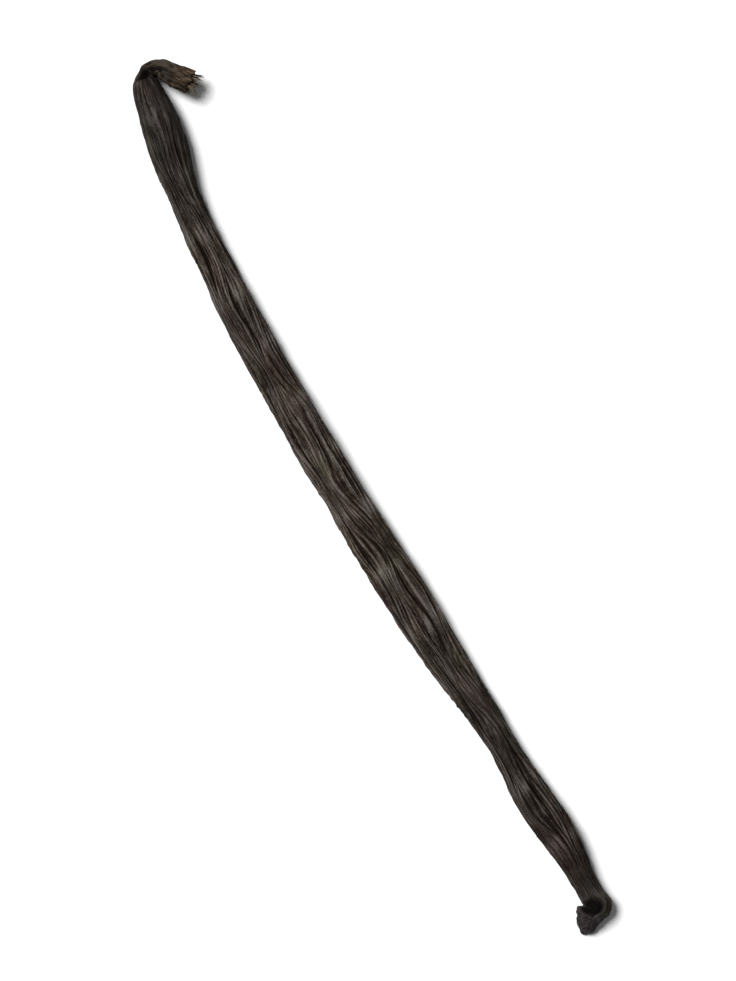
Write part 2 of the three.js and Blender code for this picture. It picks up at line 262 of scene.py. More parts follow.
# %% The grid
rings_so_far = np.concatenate([[0], np.cumsum(1 / along(RING_SPACINGS, path_station[1:]))])
ring_station = np.interp(
    np.linspace(0, rings_so_far[-1], RING_COUNT), rings_so_far, np.minimum(path_station, POD_LENGTH)
)
COLUMN_COUNT = COLUMNS_EACH.sum()
column = np.arange(COLUMN_COUNT)
crease = np.repeat(np.arange(CREASE_COUNT), COLUMNS_EACH)
way_on = (column - (np.cumsum(COLUMNS_EACH) - COLUMNS_EACH)[crease]) / COLUMNS_EACH[crease]
station, turn = np.meshgrid(ring_station, (crease + way_on) / CREASE_COUNT, indexing="ij")
this_one = crease_angle(crease, station)
next_one = crease_angle((crease + 1) % CREASE_COUNT, station) + 2 * np.pi * (crease == CREASE_COUNT - 1)
angle = this_one + way_on * (next_one - this_one)
print(RING_COUNT, "rings of", COLUMN_COUNT, "columns")

# %% [markdown]
# ## Broad relief
#
# The fruit has three lobes, and the wall between them falls in as it dries, unevenly, which leaves low
# lumps. Near the hook, the shoulder has a smooth flank on one side and a sharp keel beside it. At the
# waist, where the stalk joins the fruit, a groove and a pit lie below the rim of the bent stalk. On the
# knob, one side has fallen in beside the flower's scar. Every one of them is a depth below the plain
# skin, and each local one is a patch: a hump along the pod times a hump round it.

# %% Patches of the skin
# Middle along the pod and reach, in mm, then middle round it and reach, in degrees from its +X side.
KEEL = (18.5, 10.5, 57, 26)
FLANK = (17.5, 11.5, 20, 46)
RIM = (7.3, 1.7, 140, 60)
PIT = (8.75, 1.4, 105, 95)
HOLLOW = (172.2, 3.4, 119, 100)
STEEP = (0.1, 0.6)  # a steep-walled patch rises from nothing to all of its depth between these shares


def patch(station_middle, station_reach, angle_middle, angle_reach):
    """1 in the middle of a patch, 0 outside it: a hump along the pod times a hump round it."""
    degrees = (np.degrees(angle) - angle_middle + 180) % 360 - 180
    return hump(station_middle, station_reach, station) * hump(0, angle_reach, degrees)


keel, flank, rim = patch(*KEEL), patch(*FLANK), patch(*RIM)
pit, hollow = smooth_step(*STEEP, patch(*PIT)), smooth_step(*STEEP, patch(*HOLLOW))
print("the flank takes up", round(100 * (flank > 0.1).mean(), 1), "% of the grid")

# %% Depth of the broad relief
FALL_IN = 0.25  # how far the wall between the lobes has fallen in
LOBES = ((3, 0.6, 160, 0.1), (5, 0.4, -90, 0.6))  # count, share, turns once in so many mm, start
LUMP_CELLS, LUMP_LENGTH, LUMP_DEPTH = 8, 5.0, 0.22
WAIST_STATION, WAIST_REACH, WAIST_DEPTH = 8.9, 1.0, 0.3
HOLLOW_DEPTH, PIT_DEPTH, KEEL_HEIGHT, RIM_HEIGHT = 0.7, 0.8, 0.4, 0.25

width_share = along(WIDTHS, station) / BODY_WIDTH
lobes = sum(
    FALL_IN * share * (0.5 - 0.5 * np.cos(count * angle + 2 * np.pi * (station / turns_in + start)))
    for count, share, turns_in, start in LOBES
)
lumps = LUMP_DEPTH * noise(turn, station / LUMP_LENGTH, LUMP_CELLS, 14)
waist = hump(WAIST_STATION, WAIST_REACH, station)
broad = (lobes + lumps) * width_share + WAIST_DEPTH * waist
broad += HOLLOW_DEPTH * hollow + PIT_DEPTH * pit - KEEL_HEIGHT * keel - RIM_HEIGHT * rim
print("broad relief:", round(broad.min(), 2), "to", round(broad.max(), 2), "mm")

# %% [markdown]
# ## Long creases
#
# Along its course each crease deepens and fades, and a few stretches have sunk into deep folds. The
# crease is sharp at the bottom and its sides round off upwards, as in any skin that is too large for
# what it covers. Between two creases a point takes the deeper of the two. Behind the hook, on the flank
# and on the knob the skin is drawn smoother, so less of the creases is left there.

# %% Depth of one crease
CREASE_DEPTH = 0.32  # on the widest part of the body
FADE_LENGTH, FADE_SPREAD = 18, 24  # a fade is so many mm long, plus up to so many
FADE_MIDDLE, FADE_SWING = 0.62, 0.38
DEEP_FOLDS = (  # crease, from, to, depth
    (3, 12, 27, 0.3), (7, 34, 52, 0.5), (5, 46, 78, 0.3), (8, 70, 92, 0.36), (4, 92, 124, 0.34),
    (9, 118, 156, 0.4), (6, 132, 160, 0.4), (14, 24, 70, 0.4), (19, 96, 150, 0.4),
)


def crease_depth(crease, station):
    """The usual depth times a slow sine fade, plus any deep fold there, which takes a third of its
    length to set in and a third to run out. All of it is less where the pod is narrow."""
    wave = 2 * np.pi * station / (FADE_LENGTH + FADE_SPREAD * chance(crease, 4))
    fade = FADE_MIDDLE + FADE_SWING * np.sin(wave + 2 * np.pi * chance(crease, 5))
    depth = CREASE_DEPTH * fade
    for folded, start, end, deep in DEEP_FOLDS:
        run = (end - start) / 3
        there = smooth_step(start, start + run, station) * (1 - smooth_step(end - run, end, station))
        depth = depth + deep * there * (crease == folded)
    return depth * width_share


this_depth = crease_depth(crease, station)
next_depth = crease_depth((crease + 1) % CREASE_COUNT, station)
print(len(DEEP_FOLDS), "stretches are deep folds")

# %% All the creases
CREASE_HALF_WIDTH = 0.15  # as a share of the way to the next crease
SCAR_START = 3.4  # length of the flower's scar, from the tip
SCAR_EDGE = 0.4  # how far before it the skin changes


def left_over(*places):
    """What is left of a relief that is smoother in some places: each place is a pair of the share that
    is gone there and a mask, and leaves 1 minus share times mask. The pairs are multiplied."""
    left = 1.0
    for share_gone, mask in places:
        left = left * (1 - share_gone * mask)
    return left


on_scar = smooth_step(POD_LENGTH - SCAR_START - SCAR_EDGE, POD_LENGTH - SCAR_START, station)
behind_hook = smooth_step(5, 9, station) * (1 - smooth_step(22, 34, station))
on_knob = smooth_step(168.5, 171.5, station)
creases = np.maximum(
    this_depth * np.exp(-way_on / CREASE_HALF_WIDTH),
    next_depth * np.exp(-(1 - way_on) / CREASE_HALF_WIDTH),
)
creases *= left_over(
    (0.5, behind_hook), (0.7, flank), (0.85, hollow), (0.8, on_scar), (0.6, on_knob)
)
print("deepest crease:", round(creases.max(), 2), "mm")

# %% [markdown]
# ## Fine ridges
#
# Between the long creases the skin is pinched up into fine ridges. They are thin and sharp, with wider
# valleys between, and they fork, merge and die out, which lines with fixed courses can't do. So they
# come from noise that is stretched along the pod. Three sizes lie over each other: low folds, ridges
# and hair-fine wrinkles. Each stands half above the plain skin and half below it. Short crinkles cross
# them, strongly on the stalk and the knob and faintly on the body, and the flower's scar is crumbly.

# %% A ridge from noise
CREST_PUSH, CREST_POWER = 0.4, 1.3


def crest_lines(around, length, cells, purpose, narrow):
    """Narrow crests that wander, fork and die out: 1 along the lines where pushed noise is a half, and
    falling off on both sides as e to the minus (distance over narrow) to the crest's power."""
    from_half = np.abs(noise(around, length, cells, purpose, CREST_PUSH) - 0.5)
    return np.exp(-(from_half / narrow) ** CREST_POWER)


crests_met = crest_lines(np.linspace(0, 1, 1000), 0.5, 10, 11, 0.2) > 0.5
print("share of a ring that is crest:", round(crests_met.mean(), 2))

# %% Height of the fine ridges
RIDGE_SIZES = (  # cells round, cell length in mm, height, how narrow the crest is, purpose
    (34, 20.0, 0.08, 0.17, 11),
    (84, 11.0, 0.32, 0.22, 12),
    (120, 6.0, 0.14, 0.31, 13),
)
WARPS = ((5, 22.0, 0.06, 10), (9, 9.0, 0.034, 16))  # cells round, cell length in mm, share, purpose
UNEVEN_CELLS, UNEVEN_LENGTH, UNEVEN_HEIGHT = 40, 2.4, 0.06
CRINKLE_CELLS, CRINKLE_LENGTH, CRINKLE_HEIGHT = 30, 0.9, 0.26
CRUMB_CELLS, CRUMB_LENGTH, CRUMB_HEIGHT = 18, 0.45, 0.3
BODY_CRINKLE, HOLLOW_CRINKLE = 0.1, 0.2  # of the stalk's

skin_turn = turn + sum(
    share * (noise(turn, station / length, cells, purpose) - 0.5)
    for cells, length, share, purpose in WARPS
)
ridges = sum(
    height * (crest_lines(skin_turn, station / cell_length, cells, purpose, narrow) - 0.5)
    for cells, cell_length, height, narrow, purpose in RIDGE_SIZES
)
ridges += UNEVEN_HEIGHT * (noise(skin_turn, station / UNEVEN_LENGTH, UNEVEN_CELLS, 17) - 0.5)
ridges *= left_over((0.9, flank), (0.9, hollow), (0.85, on_scar), (0.75, on_knob)) * width_share**0.5
on_body = smooth_step(6, 11, station) * (1 - on_knob)
crinkled = 1 - (1 - BODY_CRINKLE) * on_body - (1 - HOLLOW_CRINKLE) * on_knob * hollow
crinkle = noise(skin_turn, station / CRINKLE_LENGTH, CRINKLE_CELLS, 18) - 0.5
ridges += CRINKLE_HEIGHT * crinkled * crinkle
ridges += CRUMB_HEIGHT * on_scar * (noise(turn, station / CRUMB_LENGTH, CRUMB_CELLS, 20) - 0.5)
print("fine ridges:", round(ridges.min(), 2), "to", round(ridges.max(), 2), "mm")

# %% [markdown]
# ## From depths to skin
#
# Each ring is a flattened section, a little squarer than an ellipse. Its points move inwards by the
# depths, the section leans over by its roll, and then stands across the middle line. The soft underside
# has settled onto the table, so nothing goes below zero: that alone makes the flat strip it rests on.

# %% Skin points
UNDERSIDE_SHARE = 0.45  # how much of the thickness lies below the middle line
SQUARENESS = 0.9  # exponent of the section: 1 is an ellipse, less is squarer
PRESSED_FLAT = 0.22  # how far the soft underside has settled onto the table
SCAR_STEP = 0.3  # how far the scar lies below the rim of the knob


def scar_step(station):
    """How far the section is drawn in: by the scar's step, smoothly, from the scar's start on."""
    start = POD_LENGTH - SCAR_START
    return SCAR_STEP * smooth_step(start - 0.1, start + 0.6, station)


def skin_points(station, angle, depth, ragged=0.0):
    """Section: x is half the width times a power of the cosine, y half the height times a power of the
    sine. The depth goes inwards along the ellipse's normal. ragged moves a point along the line."""
    half_width = along(WIDTHS, station) / 2 - scar_step(station)
    thickness = 2 * half_width * along(FLATNESSES, station)
    below = thickness * UNDERSIDE_SHARE
    half_height = np.where(np.sin(angle) > 0, thickness - below, below)
    cos, sin = np.cos(angle), np.sin(angle)
    out_x, out_y = cos / half_width, sin / half_height
    out = np.hypot(out_x, out_y)
    x = half_width * np.sign(cos) * np.abs(cos) ** SQUARENESS - depth * out_x / out
    y = half_height * np.sign(sin) * np.abs(sin) ** SQUARENESS - depth * out_y / out
    roll = np.radians(along(ROLLS, station))
    across = x * np.cos(roll) - y * np.sin(roll) + along(SHIFTS, station)
    up = x * np.sin(roll) + y * np.cos(roll) + below + along(LIFTS, station) - PRESSED_FLAT
    way = heading(station)
    return np.stack([
        np.interp(station, path_station, path_x) + across * np.cos(way) - ragged * np.sin(way),
        np.interp(station, path_station, path_y) - across * np.sin(way) - ragged * np.cos(way),
        np.maximum(up, 0),
    ], axis=-1) * MM


depth = broad + creases - ridges
skin = skin_points(station, angle, depth)
print("skin spans", np.round((skin.max((0, 1)) - skin.min((0, 1))) * 1000, 1), "mm")

# %% [markdown]
# ## The two ends
#
# The blossom end closes in a low dome. The stalk end was torn, so its rim stands out in uneven teeth
# and its face is a rough hollow. Both are more rings of the same grid, shrinking to a point.

# %% Torn teeth
TOOTH_LENGTH, TOOTH_CELLS, TOOTH_POWER = 0.9, 24, 1.5  # a power above 1 makes long teeth rare
TOOTH_ROOT = 1.1  # how far from the tear the skin is drawn along with the teeth

teeth = TOOTH_LENGTH * noise(turn[0], np.zeros(COLUMN_COUNT), TOOTH_CELLS, 21) ** TOOTH_POWER
skin = skin_points(station, angle, depth, -teeth * (1 - smooth_step(0, TOOTH_ROOT, station)))
print("teeth up to", round(teeth.max(), 2), "mm long")


# %% Helpers for the ends
def closing_rings(rim, centre, shares, push):
    """Rings between a rim and its centre: each share of the way out, moved by its push vectors."""
    return centre + shares[:, None, None] * (rim - centre) + push


def line_point(station, reach):
    """The middle of a section: half way between its two sides, moved along the line by reach."""
    sides = skin_points(np.full(2, station), np.array([0, np.pi]), np.zeros(2), reach)
    return sides.mean(0)


apart = line_point(0.0, 0.0) - line_point(POD_LENGTH, 0.0)
print("from the torn face to the tip:", round(np.linalg.norm(apart) / MM, 1), "mm as the crow flies")

# %% End rings
TORN_RINGS, TIP_RINGS = 7, 5
TORN_HOLLOW = 0.5  # how far the middle of the torn face lies inside its rim
TIP_DOME = 0.35  # how far the blossom end stands out in its middle
ROUGH_AROUND, ROUGH_INWARDS, ROUGH_HEIGHT = 18, 5, 0.5  # cells of the rough torn face

ahead_start = -np.array([np.sin(heading(0.0)), np.cos(heading(0.0)), 0])
ahead_end = -np.array([np.sin(heading(POD_LENGTH)), np.cos(heading(POD_LENGTH)), 0])
torn_shares = 1 - (np.arange(TORN_RINGS) + 1) / (TORN_RINGS + 1)
rough = noise(turn[:1], torn_shares[:, None] * ROUGH_INWARDS, ROUGH_AROUND, 22)
into = (TORN_HOLLOW * (1 - torn_shares[:, None] ** 2) + ROUGH_HEIGHT * (rough - 0.5)) * MM
torn_rings = closing_rings(skin[0], line_point(0.0, 0.0), torn_shares, into[..., None] * ahead_start)
torn_pole = line_point(0.0, TORN_HOLLOW)

tip_shares = 1 - (np.arange(TIP_RINGS) + 1) / (TIP_RINGS + 1)
domed = TIP_DOME * (1 - tip_shares[:, None] ** 2) * MM * np.ones(COLUMN_COUNT)
tip_centre = line_point(POD_LENGTH, 0.0)
tip_rings = closing_rings(skin[-1], tip_centre, tip_shares, domed[..., None] * ahead_end)
tip_pole = line_point(POD_LENGTH, TIP_DOME)
all_rings = np.concatenate([torn_rings[::-1], skin, tip_rings])
print(len(all_rings), "rings with both ends closed")

# %% [markdown]
# ## Into a mesh
#
# A grid that closes round the pod is a set of four-sided faces, and each pole is a fan of triangles.
# One could add vertices one by one, but a skin of a hundred thousand points is far quicker to hand over
# as whole arrays. Along with the points, a mesh can carry attributes: a number or a place for each
# point, for the finish to read.

# %% Faces of a tube
def tube_faces(rings, columns):
    """Corner numbers of the four-sided faces between neighbouring rings and columns."""
    ring, column = np.meshgrid(np.arange(rings - 1), np.arange(columns), indexing="ij")
    a = ring * columns + column
    b = ring * columns + (column + 1) % columns
    return np.stack([a, b, b + columns, a + columns], axis=-1).reshape(-1, 4)


print("a tube of two rings of three:", tube_faces(2, 3).tolist())


# %% From arrays to a mesh object
def make_mesh(name, points, quads, triangles, values):
    """A mesh object at the origin from arrays of points and faces, with smooth shading and one
    attribute for each array in values: a number or a vector at every point."""
    mesh = bpy.data.meshes.new(name)
    corners = np.concatenate([quads.ravel(), triangles.ravel()]).astype(np.int32)
    starts = np.concatenate([np.arange(len(quads)) * 4, 4 * len(quads) + np.arange(len(triangles)) * 3])
    mesh.vertices.add(len(points))
    mesh.vertices.foreach_set("co", points.astype(np.float32).ravel())
    mesh.loops.add(len(corners))
    mesh.loops.foreach_set("vertex_index", corners)
    mesh.polygons.add(len(starts))
    mesh.polygons.foreach_set("loop_start", starts.astype(np.int32))
    mesh.update(calc_edges=True)
    mesh.validate()
    mesh.shade_smooth()
    for label, value in values.items():
        kind, field = ("FLOAT_VECTOR", "vector") if value.ndim == 2 else ("FLOAT", "value")
        attribute = mesh.attributes.new(label, kind, "POINT")
        attribute.data.foreach_set(field, value.astype(np.float32).ravel())
    piece = bpy.data.objects.new(name, mesh)
    bpy.context.scene.collection.objects.link(piece)
    print(name, "has", len(mesh.vertices), "points and", 2 * len(quads) + len(triangles), "triangles")
    return piece


# %% Faces of the pod
ring_total = len(all_rings)
first, last = 0, (ring_total - 1) * COLUMN_COUNT
following = (column + 1) % COLUMN_COUNT
torn_number, tip_number = ring_total * COLUMN_COUNT, ring_total * COLUMN_COUNT + 1
fans = np.concatenate([
    np.stack([first + following, first + column, np.full(COLUMN_COUNT, torn_number)], axis=-1),
    np.stack([last + column, last + following, np.full(COLUMN_COUNT, tip_number)], axis=-1),
])
print(len(fans), "triangles close the two ends")

# %% [markdown]
# ## What the finish needs to know
#
# The colour of a cured pod follows its shape: pale on the crests, from dust and a painted sheen, black
# in the furrows, partly as painted shade, olive on the stalk, tan where it was torn and purplish on the
# flower's scar. So the mesh carries how deep in a furrow each point is, from 0 on the highest crest to 1
# at the bottom of the deepest furrow, how much of the stalk, the tear or the scar it belongs to, how
# light the pod is there, which is its own tone with painted shadow along it and painted shade in the
# pit, the knob's hollow and the flank, and where the point is on the skin when it is rolled into a plain
# round tube, so that streaks can follow the wrinkles.

# %% Marks on the skin
SKIN_RADIUS = 2.9  # of that plain round tube
SCAR_RAGGED, SCAR_CELLS = 0.5, 9  # how uneven the edge of the scar's colour is
SCAR_BACK = 0.9  # how much further on that edge lies in the hollow
# How light each station is: partly the pod's own tone, partly painted shadow along it.
TONES_AND_SHADOWS = np.array([  # station, how light
    (0, 0.78), (8, 0.6), (14, 0.45), (25, 0.5), (33, 0.75), (42, 1.05), (56, 0.85), (76, 1.05),
    (97, 1.1), (110, 1), (122, 0.95), (135, 0.6), (148, 0.8), (158, 0.65), (165, 0.45), (172, 0.5),
    (POD_LENGTH, 0.6),
])


def with_ends(value, at_torn, at_tip):
    """One number for each point: the skin's own, and a plain one on each closed end and its pole."""
    whole = np.concatenate([
        np.full((TORN_RINGS, COLUMN_COUNT), at_torn), value, np.full((TIP_RINGS, COLUMN_COUNT), at_tip),
    ])
    return np.append(whole.ravel(), [at_torn, at_tip])


sunk = (0.5 * creases - ridges) / width_share**0.5
# The finish turns this furrow mark into painted sheen on the crests and painted shade in the furrows.
groove = np.searchsorted(np.sort(sunk.ravel()), sunk) / sunk.size  # its rank among all the points
groove += (0.5 - groove) * (1 - left_over((0.8, flank), (0.7, hollow), (0.7, pit)))
stalk = 1 - smooth_step(8.0, 10.5, station)
torn = 1 - smooth_step(0.0, 4.5, station)
# Painted shade: the pit, the knob's hollow and the flank are darkened as if they lay in shade.
tone = along(TONES_AND_SHADOWS, station) * left_over((0.9, hollow), (0.9, pit), (0.25, flank))
scar_edge = POD_LENGTH - SCAR_START + SCAR_BACK * hollow
scar_edge = scar_edge + SCAR_RAGGED * (noise(turn, station, SCAR_CELLS, 31) - 0.5)
scar = smooth_step(-0.25, 0.15, station - scar_edge)
rolled_out = np.stack([
    with_ends(SKIN_RADIUS * np.cos(2 * np.pi * skin_turn), 0, 0),
    with_ends(SKIN_RADIUS * np.sin(2 * np.pi * skin_turn), 0, 0),
    with_ends(station, 0, POD_LENGTH),
], axis=-1)
print("tone from", round(tone.min(), 2), "to", round(tone.max(), 2))

# %% The pod's mesh
pod = make_mesh(
    "pod_skin",
    np.concatenate([all_rings.reshape(-1, 3), [torn_pole, tip_pole]]),
    tube_faces(ring_total, COLUMN_COUNT),
    fans,
    {
        "groove": with_ends(groove, 0.6, 0.2),
        "tone": with_ends(tone, 1, TONES_AND_SHADOWS[-1, 1]),
        "stalk": with_ends(stalk, 1, 0),
        "torn": with_ends(torn, 1, 0),
        "scar": with_ends(scar, 0, 1),
        "rolled_out": rolled_out,
    },
)

# %% [markdown]
# ## Torn fibres
#
# Where the stalk was torn off, tough pale fibres stick out of it. They could be a hair system, but
# hairs don't go into a mesh file, so each is a thin tapered tube on a curved, slightly kinked course.
# All of them are worked out at once, as one array of strands, rings and sides.

# %% Where the fibres grow
STRAND_COUNT = 70
STRAND_LENGTH = (0.4, 2.2)
SHORTER = 1.6  # a power above 1 makes short strands more common
STRAND_RADIUS = (0.05, 0.15)
ROOT_REACH = 0.86  # of the way from the middle of the torn face to its rim
ROOT_DEPTH = 0.25  # how far inside the torn face they are rooted
SPLAY = (0.15, 0.65)  # how far the outermost lean outwards, as a share of their length

strand = np.arange(STRAND_COUNT)
root_turn = 2 * np.pi * chance(strand, 41)
root_share = ROOT_REACH * np.sqrt(chance(strand, 42))
rim_turn = angle[0] - angle[0, 0]
rim_at = np.stack([np.interp(root_turn, rim_turn, skin[0][:, axis]) for axis in range(3)], axis=-1)
torn_middle = line_point(0.0, ROOT_DEPTH)
root = torn_middle + root_share[:, None] * (rim_at - torn_middle)
outward = rim_at - torn_middle
outward /= np.linalg.norm(outward, axis=1, keepdims=True)
splay = np.interp(chance(strand, 43), (0, 1), SPLAY) * root_share
strand_length = MM * np.interp(chance(strand, 44) ** SHORTER, (0, 1), STRAND_LENGTH)
strand_radius = MM * np.interp(chance(strand, 45), (0, 1), STRAND_RADIUS)
print("fibres from", round(strand_length.min() / MM, 1), "to", round(strand_length.max() / MM, 1), "mm")

# %% Their courses
STRAND_RINGS = 9
STRAND_CURL = 0.7  # as a share of its length
STRAND_KINK = 0.07

upward = np.array([0, 0, 1.0])
sideways = np.cross(ahead_start, upward)
reach = np.linspace(0, 1, STRAND_RINGS)
curl_sideways, curl_upward = chance(strand, 46) - 0.5, chance(strand, 47) - 0.6
curl = curl_sideways[:, None, None] * sideways + curl_upward[:, None, None] * upward
course = root[:, None] + strand_length[:, None, None] * (
    reach[None, :, None] * (-ahead_start + splay[:, None] * outward)[:, None]
    + STRAND_CURL * reach[None, :, None] ** 2 * curl
)
knot = strand[:, None] * STRAND_RINGS + np.arange(STRAND_RINGS)
kinks = np.stack([chance(knot, 51), chance(knot, 52), chance(knot, 53)], axis=-1) - 0.5
course += STRAND_KINK * MM * kinks * reach[None, :, None]
print(STRAND_COUNT, "courses of", STRAND_RINGS, "points")

# %% Tubes round the courses
STRAND_SIDES = 6
TAPER, TAPER_POWER = 0.7, 2.5  # share of the radius that is gone at the tip, and how late it goes

side_turn = 2 * np.pi * np.arange(STRAND_SIDES) / STRAND_SIDES
ring_shape = np.cos(side_turn)[:, None] * sideways + np.sin(side_turn)[:, None] * upward
taper = strand_radius[:, None] * (1 - TAPER * reach**TAPER_POWER)
strand_points = course[:, :, None] + taper[:, :, None, None] * ring_shape
one_tube = tube_faces(STRAND_RINGS, STRAND_SIDES)
per_strand = STRAND_RINGS * STRAND_SIDES
strand_quads = (strand[:, None, None] * per_strand + one_tube[None]).reshape(-1, 4)
side = np.arange(1, STRAND_SIDES - 1)
start_cap = np.stack([np.zeros_like(side), side + 1, side], axis=-1)
end_cap = (STRAND_RINGS - 1) * STRAND_SIDES + start_cap[:, ::-1]
both_caps = np.concatenate([start_cap, end_cap])
strand_caps = (strand[:, None, None] * per_strand + both_caps[None]).reshape(-1, 3)
strand_tone = np.repeat(chance(strand, 48), per_strand)
fibres = make_mesh(
    "torn_fibres", strand_points.reshape(-1, 3), strand_quads, strand_caps, {"tone": strand_tone}
)

# %% [markdown]
# ## Finishes
#
# A finish is a small network of nodes: some read a place or a mark, some make noise from it, and the
# Principled shader turns the result into a surface. A painted picture could be wrapped round the pod
# instead, but worked-out noise stays sharp at any distance and has no seam. A few helpers keep the
# networks short.

# %% Node helpers
def new_finish(name):
    """An empty node material with its Principled shader."""
    material = bpy.data.materials.new(name)
    material.use_nodes = True
    return material, material.node_tree, material.node_tree.nodes["Principled BSDF"]


def feed(tree, socket, value):
    """Gives a socket its value: a number, a colour or another node's socket."""
    if isinstance(value, bpy.types.NodeSocket):
        tree.links.new(value, socket)
    else:
        socket.default_value = value


def add(tree, kind, settings=None, **inputs):
    """A node with its settings and its inputs, which are named, or numbered as in0, in1 and so on."""
    node = tree.nodes.new(kind)
    for label, value in (settings or {}).items():
        setattr(node, label, value)
    for label, value in inputs.items():
        feed(tree, node.inputs[int(label[2:]) if label.startswith("in") else label], value)
    return node


def mark(tree, label, output="Fac"):
    """One of the marks that the mesh carries."""
    return add(tree, "ShaderNodeAttribute", {"attribute_name": label}).outputs[output]


def arithmetic(tree, operation, a, b=0.0, c=0.0):
    """One sum or product: MULTIPLY_ADD is a times b, plus c."""
    return add(tree, "ShaderNodeMath", {"operation": operation}, in0=a, in1=b, in2=c).outputs[0]


def blend(tree, share, a, b, blend_type="MIX"):
    """Colour a, changed by so great a share into colour b, or multiplied by it."""
    settings = {"data_type": "RGBA", "blend_type": blend_type}
    return add(tree, "ShaderNodeMix", settings, in0=share, in6=a, in7=b).outputs[2]


# %% Helpers for bands and grain
def between(tree, value, low, high, to_low=0.0, to_high=1.0):
    """to_low where the value is low or less, to_high where it is high or more, even in between."""
    ends = {"in1": low, "in2": high, "in3": to_low, "in4": to_high}
    return add(tree, "ShaderNodeMapRange", {"clamp": True}, in0=value, **ends).outputs[0]


def grain(tree, vector, across, lengthwise, detail=2.0):
    """Noise from 0 to 1 whose blobs are so long across and along the pod: a Mapping node divides the
    place by the blob's size first."""
    scale = (1 / across, 1 / across, 1 / lengthwise)
    place = add(tree, "ShaderNodeMapping", Vector=vector, Scale=scale).outputs[0]
    return add(tree, "ShaderNodeTexNoise", Vector=place, Scale=1.0, Detail=detail).outputs[0]


# %% [markdown]
# ## Cured skin: its grain
#
# Cured skin is nearly black brown, but never even. Curing leaves long streaks, and the skin has small
# flecks and pores. Three noises, stretched less and less along the pod, push each point a little
# further into the furrow or out of it, so the furrow's colours, with their painted sheen and painted
# shade, get ragged edges. Two wider noises tint it in soft patches.

# %% Streaks, flecks and pores
# Size across and along the pod in mm, and how many finer sizes lie in it.
STREAKS, FLECKS, PORES = (0.3, 5.0, 3.0), (0.2, 1.7, 3.0), (0.14, 0.3, 3.0)
PATCHES, OTHER_PATCHES = (2.4, 14.0), (3.1, 9.0)
STREAK_PUSH, FLECK_PUSH, PORE_PUSH = 0.16, 0.19, 0.2  # into the furrow, or out of it

skin_finish, tree, shader = new_finish("cured_skin")
place = mark(tree, "rolled_out", "Vector")
streaks, flecks, pores = (grain(tree, place, *size) for size in (STREAKS, FLECKS, PORES))
patches, other_patches = grain(tree, place, *PATCHES), grain(tree, place, *OTHER_PATCHES)

in_groove = mark(tree, "groove")
uneven = in_groove
for noise_made, push in ((streaks, STREAK_PUSH), (flecks, FLECK_PUSH), (pores, PORE_PUSH)):
    uneven = arithmetic(tree, "ADD", uneven, between(tree, noise_made, 0.3, 0.7, push, -push))
print(len(tree.nodes), "nodes in the skin's grain")

# %% [markdown]
# ## Cured skin: its colours
#
# Dust and dried oil make the crests a warm grey, and a painted sheen makes them paler still; the slopes
# are brown, and the furrows nearly black, partly as painted shade. A colour ramp reads the furrow mark
# and gives each depth its colour, so it paints sheen on the crests and shade in the furrows. The patches
# tint it a little red or olive. The stalk has a ramp of its own, with painted shade in its furrows, and
# rust and tan splinters where it was torn. The tone mark darkens it with painted shadow along the pod
# and painted shade in the pit, the knob's hollow and the flank. The flower's scar has a mottle that
# reads the plain place in the pod, because it faces along the pod, where the rolled-out place is
# squeezed.

# %% Colours of the skin
# Crest colours hold dust and a painted sheen; furrow colours hold the skin's dark and painted shade.
DUST_SHEEN_AND_SHADE_COLOURS = (  # share of the way into the furrow, colour
    (0.04, (0.101, 0.0875, 0.0805, 1)),
    (0.22, (0.068, 0.0580, 0.0500, 1)),
    (0.50, (0.0325, 0.0240, 0.0186, 1)),
    (0.92, (0.0050, 0.0026, 0.0014, 1)),
)
PLAIN, RED_TINT, OLIVE_TINT = (1, 1, 1, 1), (1.06, 0.925, 0.93, 1), (0.96, 1.005, 0.84, 1)
RED_FROM, OLIVE_FROM = (0.46, 0.66), (0.5, 0.68)  # where in the patches a tint sets in and is full

# The ramp paints sheen on the crests and shade in the furrows.
ramp = add(tree, "ShaderNodeValToRGB", in0=uneven)
ramp.color_ramp.elements.remove(ramp.color_ramp.elements[1])
for number, (share, dust_sheen_and_shade_colour) in enumerate(DUST_SHEEN_AND_SHADE_COLOURS):
    stop = ramp.color_ramp.elements.new(share) if number else ramp.color_ramp.elements[0]
    stop.position, stop.color = share, dust_sheen_and_shade_colour
tint = blend(tree, between(tree, patches, *RED_FROM), PLAIN, RED_TINT)
tint = blend(tree, between(tree, other_patches, *OLIVE_FROM), tint, OLIVE_TINT)
colour = blend(tree, 1.0, ramp.outputs[0], tint, "MULTIPLY")
print(len(ramp.color_ramp.elements), "colours from crest to furrow")

# %% Colours of the stalk
# The stalk's furrow colour is partly its own dark and partly painted shade.
STALK_BROWN, STALK_DARK_AND_SHADE = (0.060, 0.046, 0.032, 1), (0.006, 0.0042, 0.003, 1)
TORN_TAN, TORN_RUST = (0.105, 0.077, 0.047, 1), (0.040, 0.024, 0.016, 1)
STALK_FROM, RUST_FROM, TAN_FROM = (0.15, 0.75), (0.42, 0.58), (0.53, 0.62)
SPLINTERS = (0.28, 1.6, 3.0)  # size across and along, and finer sizes

on_stalk, on_torn = mark(tree, "stalk"), mark(tree, "torn")
# Painted shade: the stalk goes dark in its furrows.
stalk_colour = blend(tree, between(tree, uneven, *STALK_FROM), STALK_BROWN, STALK_DARK_AND_SHADE)
colour = blend(tree, on_stalk, colour, stalk_colour)
